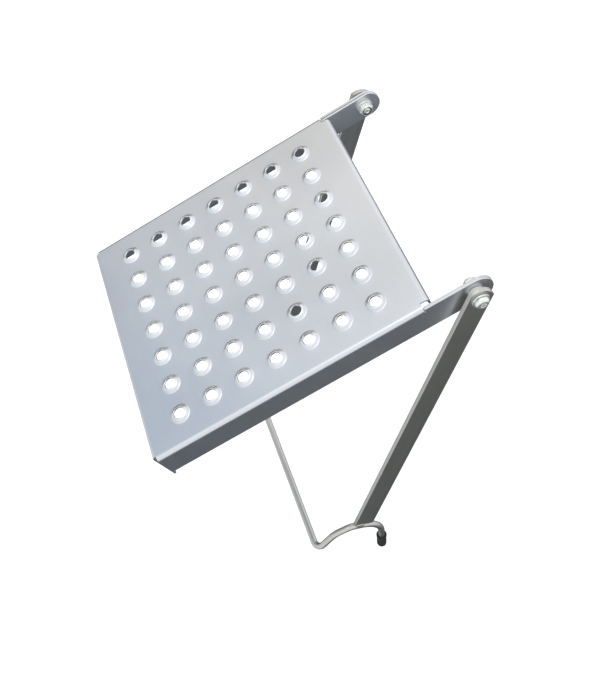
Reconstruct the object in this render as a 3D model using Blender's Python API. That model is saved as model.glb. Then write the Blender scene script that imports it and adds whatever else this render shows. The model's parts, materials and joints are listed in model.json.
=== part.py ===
"""Folding work platform that hangs on two rungs of a ladder.

A folded sheet-steel deck hooks behind the upper rung. Its side flanges run on past the front
edge as two arms, and a strut frame turns on a bolt through each arm. The frame's round bar
sits on the lower rung and holds the front of the deck up.

Lengths are in metres. X runs along the rungs, -Y points away from the ladder, Z is up and
square to the deck. The origin is on the front face of the rear lip, at mid width, level
with the bottom edges of the side flanges.
"""

import math

import bmesh
import bpy
from mathutils import Quaternion, Vector

# Deck sheet
DECK_WIDTH = 0.275
DECK_LENGTH = 0.293
SHEET = 0.002
BEND_RADIUS = 0.0045  # outside of each fold
FLANGE_DEPTH = 0.031
LIP_DROP = 0.012  # how far the rear lip hangs below the side flanges
BEND_STEPS = 2

# Raised drain holes
HOLE_PITCH = 0.035
HOLE_BORDER = 0.0005  # least plain sheet between the outer holes' squares and the front cuts
HOLE_PATTERN_REARWARD = 0.0015
HOLE_RADIUS = 0.0057
DIMPLE_RADIUS = 0.0105
DIMPLE_HEIGHT = 0.0031
DIMPLE_SHOULDER_RADIUS = 0.0078
DIMPLE_SHOULDER_HEIGHT = 0.0024
HOLE_SIDES = 12

# Front corners, where the arms part from the top of the deck
NOTCH_WIDTH = 0.008  # from the deck's side inwards
NOTCH_LENGTH = 0.0086  # from the deck's front backwards
NOTCH_SLIT = 0.0008
FRONT_FLANGE_TRIM = 0.005

# Arms
ARM_TOP_STEP = 0.001  # how far the arm's top edge lies below the deck
ARM_REACH = 0.039  # from the deck's front to the pivot
ARM_END_OVERRUN = 0.0028  # from the pivot to the centre of the arm's round end
ARM_PLATE_THICKNESS = 0.0025
ARM_PLATE_LENGTH = 0.110  # behind the pivot
ARM_PLATE_STEP = 0.0014  # from the arm's top edge down to the plate's
ROUND_END_STEPS = 10

# Pivots
BOLT_DIAMETER = 0.008
BOLT_HEAD_OVERHANG = 0.003  # past the shank, all round
BOLT_HEAD_HEIGHT = 0.0044
BOLT_DOME = ((0.35, 0.96), (0.75, 0.77), (1.0, 0.55))  # shares of the head's height and radius
BOLT_TIP_PROUD = 0.0004
SOCKET_ACROSS_FLATS = 0.005
SOCKET_DEPTH = 0.0026
WASHER_OVERHANG = 0.0015  # past the bolt's head, all round
WASHER_THICKNESS = 0.0016
SPACER_WALL = 0.0037
SPACER_LENGTH = 0.005
NUT_HEX_HEIGHT = 0.0047
NUT_FLAT_MARGIN = 0.0003  # from the collar to the hexagon's flats
NUT_COLLAR_HEIGHT = 0.0018
NUT_COLLAR_WALL = 0.0009
NUT_INSERT_WALL = 0.0007
HARDWARE_SIDES = 12
DRILLED_SIDES = 16  # of the bolt's hole in a flat bar

# Strut frame
STRUT_WIDTH = 0.024
STRUT_THICKNESS = 0.005
STRUT_LENGTH = 0.3915  # from the pivot to the square foot
STRUT_CROWN_RADIUS = 0.015
STRUT_CROWN_DROP = 0.003  # from the pivot to the centre of the crown's curve
CROWN_STEPS = 8
STRUT_LEAN = math.radians(38.0)  # from straight down, towards the ladder
ROD_DIAMETER = 0.008
SADDLE_INNER = 0.016  # rod beside the strut's foot, towards the ladder
SADDLE_OUTER = 0.025  # rod beside the strut's foot, away from the ladder
CREST_LENGTH = 0.020
RETURN_LENGTH = 0.035
DROP_LENGTH = 0.066
CREST_TURN = math.radians(31.0)  # each turn is measured down from the square foot
RETURN_TURN = math.radians(65.0)
DROP_TURN = math.radians(108.0)
CREST_BEND_RADIUS = 0.020
DROP_BEND_RADIUS = 0.038
CROSS_BEND_RADIUS = 0.012
ROD_BEND_STEP = math.radians(20.0)
ROD_BEVEL_STEPS = 3
CAP_WALL = 0.0021
CAP_LENGTH = 0.026
CAP_END_WALL = 0.003
CAP_CHAMFER = 0.002
CAP_SIDES = 12
WELD_LENGTH = 0.010  # from the strut's middle towards the ladder
WELD_HEIGHT = 0.0028
WELD_THROAT = 0.0014

# Fits
GAP = 0.0003  # between faces that touch
BOLT_CLEARANCE = 0.0003  # all round the bolt, in every hole it passes through

SIDES = {"left": -1, "right": 1}

# Places worked out from the sizes above
HALF_WIDTH = DECK_WIDTH / 2
DECK_TOP = FLANGE_DEPTH
REAR_FACE = SHEET
FRONT_FACE = REAR_FACE - DECK_LENGTH
FOLD_TOP = DECK_TOP - BEND_RADIUS
ARM_HEIGHT = FLANGE_DEPTH - ARM_TOP_STEP
PIVOT_Y = FRONT_FACE - ARM_REACH
PIVOT_Z = ARM_HEIGHT / 2
ARM_END_Y = PIVOT_Y - ARM_END_OVERRUN
ARM_ROOT_Y = FRONT_FACE + NOTCH_LENGTH - NOTCH_SLIT  # the arm rises to its full height here
BORE_RADIUS = BOLT_DIAMETER / 2 + BOLT_CLEARANCE
HOLE_EDGE_MARGIN = NOTCH_WIDTH + FRONT_FLANGE_TRIM + HOLE_BORDER + HOLE_PITCH / 2
PLATE_OUTER_X = HALF_WIDTH - SHEET - GAP
PLATE_INNER_X = PLATE_OUTER_X - ARM_PLATE_THICKNESS
PLATE_TOP = ARM_HEIGHT - ARM_PLATE_STEP  # beside the arm
PLATE_REAR_TOP = FOLD_TOP - GAP  # under the deck it clears the fold
STRUT_INNER_X = HALF_WIDTH + SPACER_LENGTH
STRUT_OUTER_X = STRUT_INNER_X + STRUT_THICKNESS
ROD_X = (STRUT_INNER_X + STRUT_OUTER_X) / 2
HEAD_RADIUS = BOLT_DIAMETER / 2 + BOLT_HEAD_OVERHANG
HEAD_WASHER_X = STRUT_OUTER_X + GAP
HEAD_SEAT_X = HEAD_WASHER_X + WASHER_THICKNESS + GAP
NUT_WASHER_X = PLATE_INNER_X - GAP - WASHER_THICKNESS
NUT_SEAT_X = NUT_WASHER_X - GAP
HEX_END_X = NUT_SEAT_X - NUT_HEX_HEIGHT
COLLAR_END_X = HEX_END_X - NUT_COLLAR_HEIGHT


def clear_scene():
    """Removes every object of the scene."""
    for item in list(bpy.data.objects):
        bpy.data.objects.remove(item, do_unlink=True)


def finish(name, colour, metallic, roughness):
    """Makes one Principled material."""
    material = bpy.data.materials.new(name)
    material.use_nodes = True
    shader = material.node_tree.nodes["Principled BSDF"]
    shader.inputs["Base Color"].default_value = (*colour, 1.0)
    shader.inputs["Metallic"].default_value = metallic
    shader.inputs["Roughness"].default_value = roughness
    return material


def add_object(name, data, material, parent=None):
    """Links a mesh or curve to the scene under its name."""
    data.materials.append(material)
    item = bpy.data.objects.new(name, data)
    bpy.context.scene.collection.objects.link(item)
    item.parent = parent
    return item


def mesh_from(shape, name):
    """Turns a bmesh into a mesh and frees it."""
    mesh = bpy.data.meshes.new(name)
    shape.to_mesh(mesh)
    shape.free()
    return mesh


def ring_points(radius, sides):
    """Points of a regular polygon, the first one on the first axis."""
    angles = [2 * math.pi * k / sides for k in range(sides)]
    return [(radius * math.cos(a), radius * math.sin(a)) for a in angles]


def hexagon_points(across_flats, sides):
    """A hexagon with extra points spaced along its flats, so that it has `sides` points."""
    per_flat = sides // 6
    corners = ring_points(across_flats / math.sqrt(3), 6)
    points = []
    for k, start in enumerate(corners):
        end = corners[(k + 1) % 6]
        for step in range(per_flat):
            share = step / per_flat
            points.append(tuple(a + (b - a) * share for a, b in zip(start, end)))
    return points


def loft(name, sections, closed):
    """Skins a list of (x, points) sections along X.

    A closed loft joins its last section to its first, as a washer does, and an open one
    has a flat cap at each end, as a bolt does.
    """
    shape = bmesh.new()
    loops = [[shape.verts.new((x, *point)) for point in points] for x, points in sections]
    pairs = list(zip(loops, loops[1:]))
    if closed:
        pairs.append((loops[-1], loops[0]))
    else:
        shape.faces.new(loops[0])
        shape.faces.new(loops[-1])
    for first, second in pairs:
        for k in range(len(first)):
            following = (k + 1) % len(first)
            shape.faces.new((first[k], first[following], second[following], second[k]))
    bmesh.ops.recalc_face_normals(shape, faces=shape.faces)
    return mesh_from(shape, name)


def plate(name, outline, thickness):
    """Extrudes a (y, z) outline along +X, with the bolt's hole at the local origin."""
    shape = bmesh.new()
    edges = []
    for points in (outline, ring_points(BORE_RADIUS, DRILLED_SIDES)):
        loop = [shape.verts.new((0, *point)) for point in points]
        edges += [shape.edges.new((a, b)) for a, b in zip(loop, loop[1:] + loop[:1])]
    bmesh.ops.triangle_fill(shape, use_beauty=True, edges=edges, normal=(-1, 0, 0))
    front = bmesh.ops.extrude_face_region(shape, geom=list(shape.faces))
    moved = [item for item in front["geom"] if isinstance(item, bmesh.types.BMVert)]
    bmesh.ops.translate(shape, vec=(thickness, 0, 0), verts=moved)
    bmesh.ops.recalc_face_normals(shape, faces=shape.faces)
    return mesh_from(shape, name)


def arc(centre, radius, start, end, steps):
    """Points of an arc in degrees, both ends included."""
    angles = [math.radians(start + (end - start) * k / steps) for k in range(steps + 1)]
    return [(centre[0] + radius * math.cos(a), centre[1] + radius * math.sin(a)) for a in angles]


class DeckSkin:
    """The outside surface of the folded sheet, built face by face on shared points."""

    def __init__(self):
        self.shape = bmesh.new()
        self.points = {}
        across = self.hole_lines(DECK_WIDTH, 0.0)
        along = self.hole_lines(DECK_LENGTH, (REAR_FACE + FRONT_FACE) / 2 + HOLE_PATTERN_REARWARD)
        self.hole_x = across
        self.hole_y = along
        self.cell_x = [x - HOLE_PITCH / 2 for x in across] + [across[-1] + HOLE_PITCH / 2]
        self.cell_y = [y - HOLE_PITCH / 2 for y in along] + [along[-1] + HOLE_PITCH / 2]
        self.notch_x = HALF_WIDTH - NOTCH_WIDTH
        self.trim_x = self.notch_x - FRONT_FLANGE_TRIM
        self.flat_x = HALF_WIDTH - BEND_RADIUS
        self.flat_rear = REAR_FACE - BEND_RADIUS
        self.flat_front = FRONT_FACE + BEND_RADIUS
        self.notch_y = FRONT_FACE + NOTCH_LENGTH

    @staticmethod
    def hole_lines(length, centre):
        """Centres of as many holes as fit along a side."""
        count = int((length - 2 * HOLE_EDGE_MARGIN) / HOLE_PITCH + 1e-6) + 1
        return [centre + (k - (count - 1) / 2) * HOLE_PITCH for k in range(count)]

    def point(self, x, y, z):
        """The shared vertex at a place."""
        key = (round(x, 6), round(y, 6), round(z, 6))
        if key not in self.points:
            self.points[key] = self.shape.verts.new((x, y, z))
        return self.points[key]

    def face(self, *places):
        """One face through some places."""
        self.shape.faces.new([self.point(*place) for place in places])

    def strip(self, lines, profile):
        """A row of faces: `profile(value)` gives the places of one cross-section."""
        for a, b in zip(lines, lines[1:]):
            first, second = profile(a), profile(b)
            for k in range(len(first) - 1):
                self.face(first[k], second[k], second[k + 1], first[k + 1])

    def dimple(self, x, y):
        """One raised hole in its square of the deck."""
        rings = []
        heights = (0.0, DIMPLE_SHOULDER_HEIGHT, DIMPLE_HEIGHT)
        radii = (DIMPLE_RADIUS, DIMPLE_SHOULDER_RADIUS, HOLE_RADIUS)
        for radius, height in zip(radii, heights):
            circle = ring_points(radius, HOLE_SIDES)
            rings.append([(x + a, y + b, DECK_TOP + height) for a, b in circle])
        for outer, inner in zip(rings, rings[1:]):
            for k in range(HOLE_SIDES):
                following = (k + 1) % HOLE_SIDES
                self.face(outer[k], outer[following], inner[following], inner[k])
        half = HOLE_PITCH / 2
        signs = ((1, -1), (1, 1), (-1, 1), (-1, -1))
        corners = [(x + a * half, y + b * half, DECK_TOP) for a, b in signs]
        quarter = HOLE_SIDES // 4
        base = rings[0]
        for side in range(4):
            middle = side * quarter
            near = [base[(middle + k) % HOLE_SIDES] for k in (1, 0, -1)]
            self.face(corners[side], corners[(side + 1) % 4], *near)
            after = [base[(middle + k) % HOLE_SIDES] for k in range(quarter - 1, 0, -1)]
            self.face(corners[(side + 1) % 4], *after)

    def flat_top(self):
        """The plain border of the deck, around the squares that hold the holes."""
        lines_x = sorted(
            [s * x for s in (-1, 1) for x in (self.trim_x, self.notch_x, self.flat_x)] + self.cell_x
        )
        lines_y = [self.flat_front, self.notch_y, *self.cell_y, self.flat_rear]
        for x0, x1 in zip(lines_x, lines_x[1:]):
            among_x = self.cell_x[0] <= x0 < self.cell_x[-1]
            for y0, y1 in zip(lines_y, lines_y[1:]):
                holes_here = among_x and self.cell_y[0] <= y0 < self.cell_y[-1]
                notched = y0 < self.notch_y and max(abs(x0), abs(x1)) > self.notch_x
                if not holes_here and not notched:
                    corners = ((x0, y0), (x1, y0), (x1, y1), (x0, y1))
                    self.face(*((x, y, DECK_TOP) for x, y in corners))
        return lines_x, lines_y

    def bend(self, edge, sign, depth):
        """Section of a folded side as (outward place, height), from the flat to the free edge."""
        centre = edge - sign * BEND_RADIUS
        turned = arc((0.0, FOLD_TOP), BEND_RADIUS, 90, 0, BEND_STEPS)
        section = [(centre + sign * outward, height) for outward, height in turned]
        if depth is not None:
            section.append((edge, depth))
        return section

    def arm(self, sign):
        """The side flange's run past the front of the deck, with its round end."""
        outline = [(self.notch_y, 0.0), (self.notch_y, FOLD_TOP)]
        outline += [(ARM_ROOT_Y, FOLD_TOP), (ARM_ROOT_Y, ARM_HEIGHT)]
        outline += arc((ARM_END_Y, PIVOT_Z), ARM_HEIGHT / 2, 90, 270, ROUND_END_STEPS)
        self.face(*((sign * HALF_WIDTH, y, z) for y, z in outline))

    def build(self):
        """The whole skin, with every face pointing out of the sheet."""
        for x in self.hole_x:
            for y in self.hole_y:
                self.dimple(x, y)
        lines_x, lines_y = self.flat_top()
        for sign in (-1, 1):
            side = self.bend(sign * HALF_WIDTH, sign, 0.0)
            self.strip(lines_y[1:], lambda y: [(x, y, z) for x, z in side])
            self.arm(sign)
        rear = self.bend(REAR_FACE, 1, -LIP_DROP)
        self.strip(lines_x, lambda x: [(x, y, z) for y, z in rear])
        front_bend = self.bend(FRONT_FACE, -1, None)
        across = [x for x in lines_x if abs(x) <= self.notch_x + GAP]
        self.strip(across, lambda x: [(x, y, z) for y, z in front_bend])
        across = [x for x in lines_x if abs(x) <= self.trim_x + GAP]
        self.strip(across, lambda x: [(x, FRONT_FACE, z) for z in (FOLD_TOP, 0.0)])
        bmesh.ops.recalc_face_normals(self.shape, faces=self.shape.faces)
        self.shape.faces.ensure_lookup_table()
        if max(self.shape.faces, key=lambda f: f.calc_center_median().z).normal.z < 0:
            bmesh.ops.reverse_faces(self.shape, faces=self.shape.faces)
        return mesh_from(self.shape, "deck_pan")


def deck_pan(steel):
    """The deck: the skin given its sheet thickness, then the pivot holes drilled."""
    pan = add_object("deck_pan", DeckSkin().build(), steel)
    sheet = pan.modifiers.new("sheet", "SOLIDIFY")
    sheet.thickness = SHEET
    sheet.offset = -1
    sheet.use_even_offset = True
    sheet.use_quality_normals = True
    drill_end = HALF_WIDTH + SHEET
    circle = ring_points(BORE_RADIUS, HARDWARE_SIDES)
    drill_mesh = loft("pivot_drill", [(-drill_end, circle), (drill_end, circle)], closed=False)
    drill = add_object("pivot_drill", drill_mesh, steel)
    drill.location = (0, PIVOT_Y, PIVOT_Z)
    drill.hide_render = True
    drill.display_type = "WIRE"
    cut = pan.modifiers.new("pivot_holes", "BOOLEAN")
    cut.operation = "DIFFERENCE"
    cut.object = drill


def arm_plate(side, steel):
    """The flat bar that doubles the arm on its inner face, stepped down to pass under the fold."""
    name = f"arm_plate_{side}"
    top = PLATE_TOP - PIVOT_Z
    rear_top = PLATE_REAR_TOP - PIVOT_Z
    shoulder = math.degrees(math.acos(2 * top / ARM_HEIGHT))
    end = (ARM_END_Y - PIVOT_Y, 0)
    outline = arc(end, ARM_HEIGHT / 2, 90 + shoulder, 270, ROUND_END_STEPS)
    outline += [(ARM_PLATE_LENGTH, -PIVOT_Z), (ARM_PLATE_LENGTH, rear_top)]
    outline += [(ARM_ROOT_Y - PIVOT_Y, rear_top), (ARM_ROOT_Y - PIVOT_Y, top)]
    item = add_object(name, plate(name, outline, ARM_PLATE_THICKNESS), steel)
    start = PLATE_INNER_X if SIDES[side] > 0 else -PLATE_OUTER_X
    item.location = (start, PIVOT_Y, PIVOT_Z)


def hardware(name, sections, side, material, closed=True):
    """A turned piece on a pivot: sections run outward from the deck's middle."""
    sign = SIDES[side]
    placed = [(sign * x, points) for x, points in sections]
    item = add_object(name, loft(name, placed, closed), material)
    item.location = (0, PIVOT_Y, PIVOT_Z)


def hollow(start, length, inner, outer):
    """Sections of a plain ring."""
    inside = ring_points(inner, HARDWARE_SIDES)
    outside = ring_points(outer, HARDWARE_SIDES)
    end = start + length
    return [(start, inside), (start, outside), (end, outside), (end, inside)]


def rings_on_pivot(side, zinc):
    """The spacer and the two washers of one pivot."""
    spacer_length = SPACER_LENGTH - 2 * GAP
    spacer = hollow(HALF_WIDTH + GAP, spacer_length, BORE_RADIUS, BORE_RADIUS + SPACER_WALL)
    hardware(f"spacer_{side}", spacer, side, zinc)
    washer_radius = HEAD_RADIUS + WASHER_OVERHANG
    for name, start in (("head_washer", HEAD_WASHER_X), ("nut_washer", NUT_WASHER_X)):
        washer = hollow(start, WASHER_THICKNESS, BORE_RADIUS, washer_radius)
        hardware(f"{name}_{side}", washer, side, zinc)


def lock_nut(side, zinc, nylon):
    """The nut of one pivot: a hexagon with a collar, and the nylon ring in the collar."""
    insert_radius = BORE_RADIUS + NUT_INSERT_WALL
    pocket_radius = insert_radius + GAP
    collar_radius = pocket_radius + NUT_COLLAR_WALL
    hexagon = hexagon_points(2 * (collar_radius + NUT_FLAT_MARGIN), HARDWARE_SIDES)
    collar = ring_points(collar_radius, HARDWARE_SIDES)
    pocket = ring_points(pocket_radius, HARDWARE_SIDES)
    thread = ring_points(BORE_RADIUS, HARDWARE_SIDES)
    nut = [(NUT_SEAT_X, thread), (NUT_SEAT_X, hexagon), (HEX_END_X, hexagon)]
    nut += [(HEX_END_X, collar), (COLLAR_END_X, collar), (COLLAR_END_X, pocket)]
    nut += [(HEX_END_X, pocket), (HEX_END_X, thread)]
    hardware(f"lock_nut_{side}", nut, side, zinc)
    insert_length = NUT_COLLAR_HEIGHT - 2 * GAP
    insert = hollow(COLLAR_END_X + GAP, insert_length, BORE_RADIUS, insert_radius)
    hardware(f"nut_insert_{side}", insert, side, nylon)


def pivot_bolt(side, zinc):
    """One pivot's bolt: a domed head with a hexagon socket, and a shank through the nut."""
    tip = COLLAR_END_X - BOLT_TIP_PROUD
    shank = ring_points(BOLT_DIAMETER / 2, HARDWARE_SIDES)
    bolt = [(tip, ring_points(BOLT_DIAMETER / 2 - GAP, HARDWARE_SIDES)), (tip + GAP, shank)]
    bolt += [(HEAD_SEAT_X, shank), (HEAD_SEAT_X, ring_points(HEAD_RADIUS, HARDWARE_SIDES))]
    for height, radius in BOLT_DOME:
        dome = ring_points(HEAD_RADIUS * radius, HARDWARE_SIDES)
        bolt.append((HEAD_SEAT_X + BOLT_HEAD_HEIGHT * height, dome))
    socket = hexagon_points(SOCKET_ACROSS_FLATS, HARDWARE_SIDES)
    crown = HEAD_SEAT_X + BOLT_HEAD_HEIGHT
    bolt += [(crown, socket), (crown - SOCKET_DEPTH, socket)]
    hardware(f"pivot_bolt_{side}", bolt, side, zinc, closed=False)


def strut(side, steel, pivot_empty):
    """The flat bar from the pivot down to the rod: crowned at the top, square at the foot."""
    name = f"strut_{side}"
    half = STRUT_WIDTH / 2
    shoulder = math.degrees(math.acos(half / STRUT_CROWN_RADIUS))
    centre = (0, -STRUT_CROWN_DROP)
    crown = arc(centre, STRUT_CROWN_RADIUS, shoulder, 180 - shoulder, CROWN_STEPS)
    outline = [*crown, (-half, -STRUT_LENGTH), (half, -STRUT_LENGTH)]
    item = add_object(name, plate(name, outline, STRUT_THICKNESS), steel, pivot_empty)
    item.location.x = STRUT_INNER_X if SIDES[side] > 0 else -STRUT_OUTER_X


def rounded_path(corners):
    """A path through (place, bend radius) corners, with an arc at each one between its ends."""
    path = [corners[0][0]]
    for (before, _), (corner, radius), (after, _) in zip(corners, corners[1:], corners[2:]):
        back = (before - corner).normalized()
        ahead = (after - corner).normalized()
        turn = math.pi - back.angle(ahead)
        reach = radius * math.tan(turn / 2)
        centre = corner + (back + ahead).normalized() * (radius / math.cos(turn / 2))
        start = corner + back * reach - centre
        axis = start.cross(corner + ahead * reach - centre).normalized()
        steps = max(2, math.ceil(turn / ROD_BEND_STEP))
        path += [centre + Quaternion(axis, turn * k / steps) @ start for k in range(steps + 1)]
    path.append(corners[-1][0])
    return path


def down_turned(turn):
    """Direction in the strut's own frame, turned down from the line of its square foot."""
    return Vector((0, math.cos(turn), -math.sin(turn)))


def hook_places():
    """Corners of one end of the rod in the strut's frame, at the middle of the bar (x = 0)."""
    seat = Vector((0, 0, -STRUT_LENGTH - GAP - ROD_DIAMETER / 2))
    outer = seat - Vector((0, SADDLE_OUTER, 0))
    inner = seat + Vector((0, SADDLE_INNER, 0))
    crest = inner + down_turned(CREST_TURN) * CREST_LENGTH
    corner = crest + down_turned(RETURN_TURN) * RETURN_LENGTH
    return outer, inner, crest, corner


def hook_rod(steel, pivot_empty):
    """The round bar: down beside one strut, over the rung, across, and back the same way."""
    outer, inner, crest, corner = hook_places()
    end = outer + down_turned(DROP_TURN) * (DROP_LENGTH - CAP_END_WALL - GAP)
    half = [
        (end, 0.0),
        (outer, DROP_BEND_RADIUS),
        (inner, CREST_BEND_RADIUS),
        (crest, CREST_BEND_RADIUS),
        (corner, CROSS_BEND_RADIUS),
    ]
    right = [(place + Vector((ROD_X, 0, 0)), radius) for place, radius in half]
    left = [(place - Vector((ROD_X, 0, 0)), radius) for place, radius in reversed(half)]
    path = rounded_path(right + left)
    curve = bpy.data.curves.new("hook_rod", "CURVE")
    curve.dimensions = "3D"
    curve.bevel_depth = ROD_DIAMETER / 2
    curve.bevel_resolution = ROD_BEVEL_STEPS
    curve.use_fill_caps = True
    spline = curve.splines.new("POLY")
    spline.points.add(len(path) - 1)
    for target, place in zip(spline.points, path):
        target.co = (*place, 1)
    add_object("hook_rod", curve, steel, pivot_empty)


def end_cap(side, rubber, pivot_empty):
    """The rubber sleeve on the rod's end, closed at the bottom."""
    name = f"end_cap_{side}"
    inside = ROD_DIAMETER / 2 + GAP
    bore = ring_points(inside, CAP_SIDES)
    wall = ring_points(inside + CAP_WALL, CAP_SIDES)
    sections = [
        (CAP_LENGTH - CAP_END_WALL, bore),
        (0.0, bore),
        (0.0, wall),
        (CAP_LENGTH - CAP_CHAMFER, wall),
        (CAP_LENGTH, ring_points(inside + CAP_WALL - CAP_CHAMFER, CAP_SIDES)),
    ]
    item = add_object(name, loft(name, sections, closed=False), rubber, pivot_empty)
    direction = down_turned(DROP_TURN)
    start = hook_places()[0] + direction * (DROP_LENGTH - CAP_LENGTH)
    item.location = start + Vector((SIDES[side] * ROD_X, 0, 0))
    item.rotation_mode = "QUATERNION"
    item.rotation_quaternion = Vector((1, 0, 0)).rotation_difference(direction)


def weld_beads(side, steel, pivot_empty):
    """The two fillet welds between a strut's foot and the rod, one on each face of the bar."""
    face_x = STRUT_THICKNESS / 2 + GAP
    rod_clear = ROD_DIAMETER / 2 + 2 * GAP
    root = math.sqrt(rod_clear**2 - face_x**2)
    toe_x = face_x + WELD_THROAT
    toe = math.sqrt(max(rod_clear**2 - toe_x**2, 0.0))
    section = [(face_x, root), (face_x, rod_clear + WELD_HEIGHT), (toe_x, toe + GAP)]
    seat = hook_places()[0].z
    for place, sign in (("outer", SIDES[side]), ("inner", -SIDES[side])):
        shape = bmesh.new()
        ends = []
        for y in (0.0, WELD_LENGTH):
            ends.append([shape.verts.new((sign * x, y, seat + z)) for x, z in section])
        for loop in ends:
            shape.faces.new(loop)
        for k in range(3):
            following = (k + 1) % 3
            shape.faces.new((ends[0][k], ends[0][following], ends[1][following], ends[1][k]))
        bmesh.ops.recalc_face_normals(shape, faces=shape.faces)
        name = f"weld_{place}_{side}"
        item = add_object(name, mesh_from(shape, name), steel, pivot_empty)
        item.location.x = SIDES[side] * ROD_X


def main():
    """Builds every piece."""
    clear_scene()
    coated = finish("silver_coated_sheet", (0.62, 0.65, 0.69), 0.75, 0.38)
    bar = finish("silver_coated_bar", (0.42, 0.42, 0.40), 0.8, 0.45)
    zinc = finish("bright_zinc", (0.72, 0.75, 0.74), 1.0, 0.28)
    rubber = finish("black_rubber", (0.02, 0.02, 0.02), 0.0, 0.6)
    nylon = finish("lock_nylon", (0.05, 0.06, 0.08), 0.0, 0.45)
    pivot_empty = bpy.data.objects.new("support_frame_pivot", None)
    bpy.context.scene.collection.objects.link(pivot_empty)
    pivot_empty.location = (0, PIVOT_Y, PIVOT_Z)
    pivot_empty.rotation_euler.x = STRUT_LEAN

    deck_pan(coated)
    hook_rod(bar, pivot_empty)
    for side in SIDES:
        arm_plate(side, coated)
        rings_on_pivot(side, zinc)
        lock_nut(side, zinc, nylon)
        pivot_bolt(side, zinc)
        strut(side, bar, pivot_empty)
        end_cap(side, rubber, pivot_empty)
        weld_beads(side, bar, pivot_empty)


main()
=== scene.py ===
"""Looks of a folding work platform for a ladder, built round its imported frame.

The deck is one folded sheet with raised drain holes. Its side flanges run on as two arms, and
a frame of two flat struts and one round bar turns on a bolt through each arm. Every piece here
lies where the frame says, rides on one of its two bodies and is dressed with its own finish.
Lengths are in metres: X runs along the rungs, -Y away from the ladder, Z up from the deck.
"""

from __future__ import annotations

import json
import logging
import math
from collections.abc import Callable, Iterable, Sequence
from dataclasses import dataclass, field
from enum import Enum
from typing import Any

import bmesh
import bpy
from mathutils import Matrix, Quaternion, Vector


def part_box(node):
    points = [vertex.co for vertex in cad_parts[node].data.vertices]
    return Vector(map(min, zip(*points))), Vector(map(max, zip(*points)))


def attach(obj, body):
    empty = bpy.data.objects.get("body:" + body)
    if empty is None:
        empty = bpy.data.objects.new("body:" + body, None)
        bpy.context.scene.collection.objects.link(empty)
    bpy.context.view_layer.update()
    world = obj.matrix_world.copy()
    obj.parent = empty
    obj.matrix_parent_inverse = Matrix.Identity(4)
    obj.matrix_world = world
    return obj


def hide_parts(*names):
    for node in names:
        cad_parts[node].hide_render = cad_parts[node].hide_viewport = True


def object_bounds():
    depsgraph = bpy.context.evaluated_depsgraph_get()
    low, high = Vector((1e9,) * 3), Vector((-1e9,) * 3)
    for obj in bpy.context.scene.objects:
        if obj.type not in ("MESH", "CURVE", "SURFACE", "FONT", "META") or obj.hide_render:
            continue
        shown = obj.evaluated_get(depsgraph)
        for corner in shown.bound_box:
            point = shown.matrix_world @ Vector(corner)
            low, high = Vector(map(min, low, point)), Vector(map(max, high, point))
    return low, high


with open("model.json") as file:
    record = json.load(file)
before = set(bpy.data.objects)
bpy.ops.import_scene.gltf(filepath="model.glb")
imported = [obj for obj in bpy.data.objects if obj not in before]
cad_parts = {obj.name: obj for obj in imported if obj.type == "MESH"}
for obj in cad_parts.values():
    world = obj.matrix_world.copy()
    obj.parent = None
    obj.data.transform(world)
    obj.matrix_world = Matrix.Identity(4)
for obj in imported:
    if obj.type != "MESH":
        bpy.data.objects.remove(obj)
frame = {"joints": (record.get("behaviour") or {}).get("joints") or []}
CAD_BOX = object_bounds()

LOG = logging.getLogger("ladder_platform")

Point = tuple[float, float]
Colour = tuple[float, float, float]
Radius = float | Callable[[float], float]
Loop = list[bmesh.types.BMVert]


class Side(Enum):
    """The two sides of the platform, by the sign of their X."""

    LEFT = -1
    RIGHT = 1

    @property
    def label(self) -> str:
        """The side's word in the names of pieces."""
        return self.name.lower()


class Body(Enum):
    """The frame's moving bodies."""

    PLATFORM = "platform"
    SUPPORT = "support_frame"


class Slot(Enum):
    """The record's material slots."""

    SHEET = "coated_sheet"
    BAR = "coated_bar"
    ZINC = "zinc_hardware"
    RUBBER = "black_rubber"
    NYLON = "lock_nylon"


# Shader expressions


@dataclass
class Value:
    """A node's output that takes part in Python arithmetic."""

    bench: Bench
    socket: bpy.types.NodeSocket

    def _math(self, operation: str, other: Value | float) -> Value:
        """A Math node on this and another."""
        return self.bench.node("ShaderNodeMath", {"operation": operation}, {0: self, 1: other})

    def __add__(self, other: Value | float) -> Value:
        """This plus another."""
        return self._math("ADD", other)

    __radd__ = __add__

    def __sub__(self, other: Value | float) -> Value:
        """This minus another."""
        return self._math("SUBTRACT", other)

    def __mul__(self, other: Value | float) -> Value:
        """This times another."""
        return self._math("MULTIPLY", other)


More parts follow.
